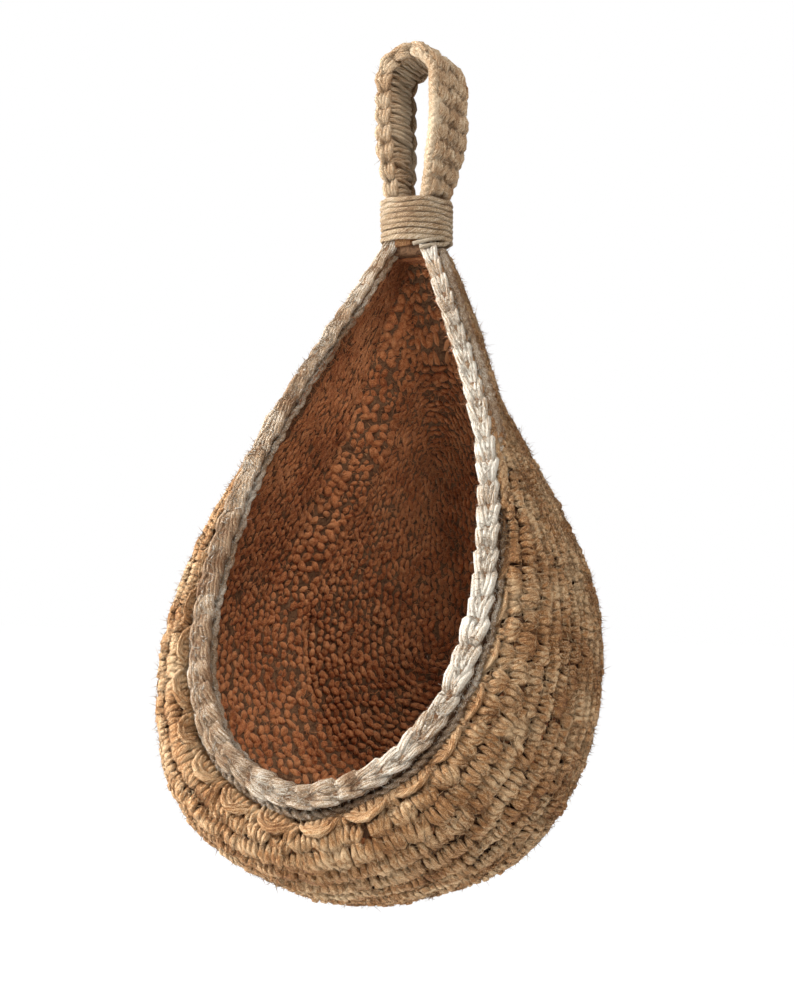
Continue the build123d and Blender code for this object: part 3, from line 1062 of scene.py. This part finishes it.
def strap_rows(lift):
    """The strap's face at a lift from its middle line: rows from its front edge to its back edge."""
    way = np.gradient(strap_line, axis=0)
    outward = unit(np.stack([-way[:, 2], np.zeros(len(way)), way[:, 0]], axis=1))
    half = strap_half_width(strap_line[:, 2])
    rows = []
    for share in np.linspace(-1, 1, strap_field_rows):
        row = strap_line + outward * lift * (1 - 0.25 * share ** 4)
        row[:, 1] = half * share
        rows.append(row)
    return np.array(rows), outward


def open_field(rows, normals):
    """A field on a strip that has two ends and shows all along."""
    gaps = np.linalg.norm(np.diff(rows, axis=0), axis=2).mean(axis=1)
    return as_field(rows, normals, gaps, hidden_above=1.0)


strap_outer_rows, strap_out = strap_rows(strap_thickness / 2)
strap_inner_rows, _ = strap_rows(-strap_thickness / 2)
strap_normals = np.tile(strap_out, (strap_field_rows, 1, 1))
strap_outer = open_field(strap_outer_rows, strap_normals)
strap_inner = open_field(strap_inner_rows, -strap_normals)
print("strap line", round(strap_outer["lengths"][strap_field_rows // 2], 3), "m long outside")

# %% Model the strap's stitches and lay them
strap_pitch = 9.6 * mm


def turned_leg(side):
    """One leg of a V that opens along the strap."""
    path = [(-0.62, 0.5 + side * 0.04, -3.2 * mm), (-0.3, 0.5 + side * 0.12, -1.3 * mm),
            (0.05, 0.5 + side * 0.24, -0.6 * mm), (0.38, 0.5 + side * 0.33, -1.4 * mm),
            (0.60, 0.5 + side * 0.36, -3.2 * mm)]
    return bent(read_shape(strand(1.0, 0.34, 4.2 * mm)), path)


strap_v = together([turned_leg(1), turned_leg(-1)])
side_yarn = read_shape(strand(1.0, 0.36, 4.0 * mm, segments=6, rings=5))
side_recipe = [(side_yarn, [
    (-0.66, place + 0.05, -3.0 * mm), (-0.2, place, -1.2 * mm), (0.3, place - 0.04, -1.2 * mm),
    (0.72, place + 0.02, -3.0 * mm)]) for place in (0.18, 0.5, 0.82)]
side_stitch = versions_of(side_recipe, 6, 0.03, 0.25 * mm)
rib_pitch = 2.6 * mm
rib = in_shares(bent(read_shape(strand(1.0, 3.2 * mm, 2.8 * mm, rings=8)), [
    (0.6 * mm, 3.0 * mm, -3.6 * mm), (0.2 * mm, 8 * mm, -1.1 * mm), (-0.2 * mm, 28 * mm, -1.1 * mm),
    (-0.6 * mm, 33 * mm, -3.6 * mm)]), rib_pitch, strap_width)
strap_middle = lay(strap_v, strap_outer, 3, strap_pitch, first=1, last=2, squeeze=False, wander=0.02)
strap_front = lay(side_stitch, strap_outer, 3, strap_pitch, last=1, squeeze=False, wander=0.03)
strap_back = lay(side_stitch, strap_outer, 3, strap_pitch, first=2, squeeze=False, wander=0.03)
strap_ribs, rib_tones = lay(rib, strap_inner, 1, rib_pitch, squeeze=False, wander=0.008)
print("strap stitches:", len(strap_middle[0]), "Vs and", len(strap_ribs), "ribs")

# %% Model and lay the strap's edges
def edge_line(side, inset, lift=0.0):
    """A line along one edge of the strap, this far in from it and lifted off the middle."""
    line = strap_line + strap_out * lift
    line[:, 1] = side * (strap_half_width(strap_line[:, 2]) - inset)
    return line


def edge_frame(side):
    """The line of one edge's chain, facing out of the strap."""
    return line_frame(edge_line(side, 3.2 * mm), np.tile([0.0, side, 0.0], (strap_points, 1)))


edge_yarn = read_shape(strand(1.0, 3.0 * mm, 3.2 * mm, segments=6, rings=6))


def edge_link(side):
    """One side of an edge's link, two yarns wide: half a V across the strap's thickness."""
    return together([bent(edge_yarn, [
        (side * (0.2 + 0.5 * offset) * mm, -0.70, -0.8 * mm), (side * (1.2 + offset) * mm, -0.3, 1.0 * mm),
        (side * (1.9 + offset) * mm, 0.1, 1.3 * mm), (side * (1.9 + offset) * mm, 0.66, -1.0 * mm)])
        for offset in (-0.6, 1.2)])


edge_chain = together([edge_link(1), edge_link(-1)])
front_left = lay_on_line(edge_chain, edge_frame(-1), strap_pitch, end=0.55)
back_edge = lay_on_line(edge_chain, edge_frame(1), strap_pitch)
cord_start, cord_end = 190, 356
front_line = edge_line(-1, 3.0 * mm, lift=-0.4 * mm)[cord_start:cord_end]
strap_cord = twisted_cord(front_line, 3.7 * mm, 15 * mm, plies=4, sides=7)
print("edges laid; cord has", len(strap_cord["faces"]), "faces")

# %% Make the strap's filling and its objects
def strap_filling():
    """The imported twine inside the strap: a flat band with rounded edges."""
    half = strap_half_width(strap_line[:, 2]) - 2.6 * mm
    section = [(-1, -0.35), (-1, 0.35), (-0.8, 0.62), (0.8, 0.62),
               (1, 0.35), (1, -0.35), (0.8, -0.62), (-0.8, -0.62)]
    points = [spot + out * lift * strap_thickness / 2 + np.array([0, across * wide, 0])
              for spot, out, wide in zip(strap_line, strap_out, half) for across, lift in section]
    return tube(points, len(section), 1, 0.1)


# The ribs on the inner face get 0.1 more tone: painted light, lightening a face that lies in shade.
strap_face = make_object("strap_face", [
    (strap_v, *strap_middle), (side_stitch[0], *strap_front), (side_stitch[0], *strap_back),
    (rib, strap_ribs, rib_tones + 0.1)], strap_jute_painted_light, None, 0.25 * mm)
# The cord on the right leg's front edge gets a light tone of 0.14: painted light for the edge that the lamp on
# the left catches.
strap_edges = make_object("strap_edges", [
    (edge_chain, *front_left), (edge_chain, *back_edge), one_copy(strap_cord, 0.14)],
    strap_jute_painted_light, None, 0.25 * mm)
strap_core = make_object("strap_core", [one_copy(strap_filling(), -0.08)], strap_jute_painted_light, None)
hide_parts("hanging_loop")
for piece in (strap_face, strap_edges, strap_core):
    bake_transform(piece)

# %% [markdown]
# ## The gathered neck and its binding
#
# The top of the bag and the strap's two ends are drawn together in folds. A thinner twine is wound
# round them eight times, a little unevenly, and its two ends show below the turns as short slanting
# tails. Twine that is wound under tension lies flat and close, so the turns touch the folds and
# nearly touch each other.

# %% Gather the neck's folds
def gathered_neck(rings=26, sides=96, folds=13):
    """An oval bunch of folds, drawn in at the top."""
    heights = np.linspace(-neck_top + 1.5 * mm, -neck_foot - 0.5 * mm, rings)
    angles = np.linspace(0, 2 * math.pi, sides, endpoint=False)
    wobble = 0.5 * np.sin(angles * 3 + 1) + 0.5 * np.sin(angles * 5)
    points = []
    for ring, height in enumerate(heights):
        drawn = math.sin(math.pi / 2 * min((ring + 0.6) / 4, 1)) * (1 - 0.10 * (ring / rings) ** 3)
        fold = 1 - 0.11 * np.abs(np.sin(folds / 2 * angles + wobble))
        x = (neck_width / 2 - 0.2 * mm) * drawn * fold * np.cos(angles)
        y = (neck_depth / 2 - 0.2 * mm) * drawn * fold * np.sin(angles)
        points += [(px, py, height) for px, py in zip(x, y)]
    return tube(points, sides, 12, 0.3)


# The folds get a dark tone of -0.25: painted shade under the binding and between the strap's ends.
neck_folds = bag_piece("neck_folds", [one_copy(gathered_neck(), -0.25)])
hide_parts("neck_gather")

# %% Wind the binding
binding_twine = 2.3 * mm
binding_turns = 8
binding_pitch = 2.75 * mm
binding_inset = 1.6 * mm
binding_map = 0.022
steps_per_turn = 48
seat = binding_twine / 2 + 0.1 * mm


def round_neck(angle, out, height):
    """A line round the neck's oval, this far outside it."""
    wide, deep = neck_width / 2 + out, neck_depth / 2 + out
    return np.stack([wide * np.cos(angle), deep * np.sin(angle), height], axis=1)


turns = np.arange(binding_turns * steps_per_turn + 1) / steps_per_turn
drift = np.interp(turns, np.arange(binding_turns + 1), random.normal(0, 0.22 * mm, binding_turns + 1))
sway = 0.35 * mm * np.sin(2 * math.pi * turns * 1.02 + 0.6)
wound = round_neck(math.pi + 2 * math.pi * turns, seat,
                   -neck_top - binding_inset - binding_pitch * turns + drift + sway)
thickness = binding_twine / 2 * (1 + np.interp(turns * 3.1, np.arange(30), random.normal(0, 0.07, 30)))
binding = round_strand(wound, thickness, 12, step_map=binding_map, flatness=0.86)
print("binding wound in", binding_turns, "turns")

# %% Add the binding's tails and make its object
tails = []
tail_rise = 3.2 * mm
tail_share = np.linspace(0, 1, 26)
for start_angle, end_angle, fall in ((286, 338, 0.2 * mm), (296, 350, 2.6 * mm)):
    tail_angle = np.radians(start_angle + tail_share * (end_angle - start_angle))
    tail = round_neck(tail_angle, seat * 1.9, -neck_foot - fall + tail_share * tail_rise)
    tails.append(one_copy(round_strand(tail, binding_twine / 2 * 0.95, 10, step_map=binding_map), 0.12))
neck_twine = make_object("neck_twine", [one_copy(binding, 0.02), *tails],
                         binding_jute, "basket", 0.25 * mm)
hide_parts("neck_binding")

# %% [markdown]
# ## Stray fibres
#
# Jute is hairy: short stiff fibres stand out of every strand and catch the light along the edges.
# Tens of thousands of thin hairs are scattered over the bag, the rim and the strap. Each is a
# three-sided spike with one bend and only seven small faces. A particle system would do the same,
# but it doesn't export.

# %% Model bent hairs on a surface
def hairs(places, normals, lengths, highest, thickness=0.18 * mm):
    """Thin bent fibres that start on a surface and lift away from it, by the highest share at most."""
    count = len(places)
    loose = random.normal(0, 1, (count, 3))
    flat = unit(loose - normals * np.sum(loose * normals, axis=1, keepdims=True))
    lift = random.uniform(0.05, highest, (count, 1))
    curl = random.normal(0, 0.5, (count, 3))
    share = np.linspace(0, 1, 3)[None, :, None]
    way = flat[:, None] * (1 - 0.3 * share) + normals[:, None] * lift[:, None] * share
    line = places[:, None] + (way + curl[:, None] * share ** 2 * 0.5) * share * lengths[:, None, None]
    side = np.cross(flat, normals)
    angles = np.array([0, 2, 4]) * math.pi / 3
    rings = line[:, :2, None] + thickness * (
        side[:, None, None] * np.cos(angles)[None, None, :, None]
        + normals[:, None, None] * np.sin(angles)[None, None, :, None])
    points = np.concatenate([rings.reshape(count, -1, 3), line[:, 2:]], axis=1)
    faces = [[here, (here + 1) % 3, 3 + (here + 1) % 3, 3 + here] for here in range(3)]
    faces += [[3 + here, 3 + (here + 1) % 3, 6] for here in range(3)] + [[2, 1, 0]]
    corner_map = np.array([(0.1 * (corner % 3), 0.1 * (corner // 3)) for face in faces for corner in face])
    shape = {"points": points[0], "faces": faces, "map": corner_map}
    return shape, points, random.normal(0.02, 0.16, count)


def spots(field, count, side, sunk):
    """Random places sunk under a field, with the directions out of one side of it."""
    places, normals = sample(field, random.uniform(0, 1, count), random.uniform(0, 1, count))
    shown = shows(places, field)
    return (places - normals * sunk)[shown], (normals * side)[shown]


def bag_fibres(name, counts, side, sunk, lengths, highest, material=bag_jute):
    """One piece of fibres over the wall and the back: so many tries on each, one side of the fabric."""
    found = [spots(field, count, side, sunk) for field, count in zip((wall_field, back_field), counts)]
    places, normals = (np.vstack(part) for part in zip(*found))
    return bag_piece(name, [hairs(places, normals, random.uniform(*lengths, len(places)), highest)], material)


print("hairs can be scattered")

# %% Scatter hairs over the bag
for name in ("stray_fibres", "more_stray_fibres"):
    bag_fibres(name, (13500, 2500), 1, 0.2 * mm, (2.5 * mm, 6.5 * mm), 0.3)
bag_fibres("stray_inside_fibres", (8000, 3500), -1, fabric_thickness, (3 * mm, 7 * mm), 0.5, inside_jute_painted_shade)

# %% Scatter hairs over the rim and the strap
rim_count = 3600
rim_tops = 24
picks = random.integers(rim_tops, rim_points - rim_tops, rim_count)
around = random.uniform(-2.0, 2.0, rim_count)[:, None]
rim_ways = rim_out_ways[picks] * np.cos(around) + rim_side_ways[picks] * np.sin(around)
rim_places = rim_line[picks] + rim_ways * 5.2 * mm * rim_widths[picks, None]
rim_hairs = hairs(rim_places, rim_ways, random.uniform(2 * mm, 5 * mm, rim_count), 0.4)
make_object("stray_rim_fibres", [rim_hairs], rim_jute_painted_light, "basket")

strap_count = 900
strap_places, strap_ways = sample(strap_outer, random.uniform(0.02, 0.98, strap_count),
                                  random.uniform(0, 1, strap_count))
strap_places -= strap_ways * mm
strap_hairs = hairs(strap_places, strap_ways, random.uniform(3 * mm, 6 * mm, strap_count), 0.3)
stray_strap = make_object("stray_strap_fibres", [strap_hairs], strap_jute_painted_light, None)
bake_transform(stray_strap)

# %% [markdown]
# ## Studio and light
#
# The basket hangs, so the floor is far below it and only a backdrop colour shows. A large soft lamp
# stands to the left, as the window did, and a weaker one high in front on the right stands for the
# rest of the room. The pale world fills in from all sides. For the camera and in reflections the
# floor and the world are made white.

# %% Build the floor
def rays_to_whiten(tree):
    """One socket that is on for the camera, for a reflection and for a look through glass."""
    rays = add_node(tree, "LightPath").outputs
    either = rays["Is Camera Ray"]
    for ray in ("Is Glossy Ray", "Is Transmission Ray"):
        either = calculate(tree, "MAXIMUM", either, rays[ray])
    return either


floor_depth = -0.75
floor_strength = 1.06
floor_whiten = 0.9
bpy.ops.object.select_all(action="DESELECT")
bpy.ops.mesh.primitive_plane_add(size=14, location=(0, 0, floor_depth))
floor = bpy.context.object
floor.name = "floor"
floor_white, floor_tree = new_material("floor_white")
matt = add_node(floor_tree, "BsdfPrincipled", {"Base Color": (0.9, 0.9, 0.9, 1)}).outputs[0]
glow = add_node(floor_tree, "Emission", {"Strength": floor_strength}).outputs[0]
share = calculate(floor_tree, "MULTIPLY", rays_to_whiten(floor_tree), floor_whiten)
mixed = add_node(floor_tree, "MixShader", {0: share, 1: matt, 2: glow}).outputs[0]
add_node(floor_tree, "OutputMaterial", {0: mixed})
floor.data.materials.append(floor_white)
print("floor at", floor_depth, "m")

# %% Add the lamps and the world
def add_lamp(name, place, aim, size, power, color=(1, 1, 1)):
    """A square soft lamp that faces a point."""
    lamp_data = bpy.data.lights.new(name, "AREA")
    lamp_data.size = size
    lamp_data.energy = power
    lamp_data.color = color
    lamp = bpy.data.objects.new(name, lamp_data)
    bpy.context.scene.collection.objects.link(lamp)
    lamp.location = place
    way = np.array(aim) - np.array(place)
    lamp.rotation_euler = (
        math.atan2(math.hypot(way[0], way[1]), -way[2]), 0, math.atan2(way[1], way[0]) - math.pi / 2
    )


basket_middle = (0, -0.03, -0.27)
add_lamp("window_lamp", (-1.2, -0.46, 0.2), basket_middle, 1.0, 80, (0.92, 0.96, 1.0))
add_lamp("sky_lamp", (0.9, -0.9, 1.1), basket_middle, 0.9, 33)

world_light, world_white = 0.40, 1.0
world = bpy.data.worlds.new("studio")
bpy.context.scene.world = world
world.use_nodes = True
world_tree = world.node_tree
background = world_tree.nodes["Background"]
background.inputs["Color"].default_value = (1, 1, 1, 1)
level = add_node(world_tree, "MapRange", {
    "Value": rays_to_whiten(world_tree), "To Min": world_light, "To Max": world_white})
world_tree.links.new(level.outputs[0], background.inputs["Strength"])
bpy.context.scene.view_settings.view_transform = "Standard"
print("two lamps and the world light the basket")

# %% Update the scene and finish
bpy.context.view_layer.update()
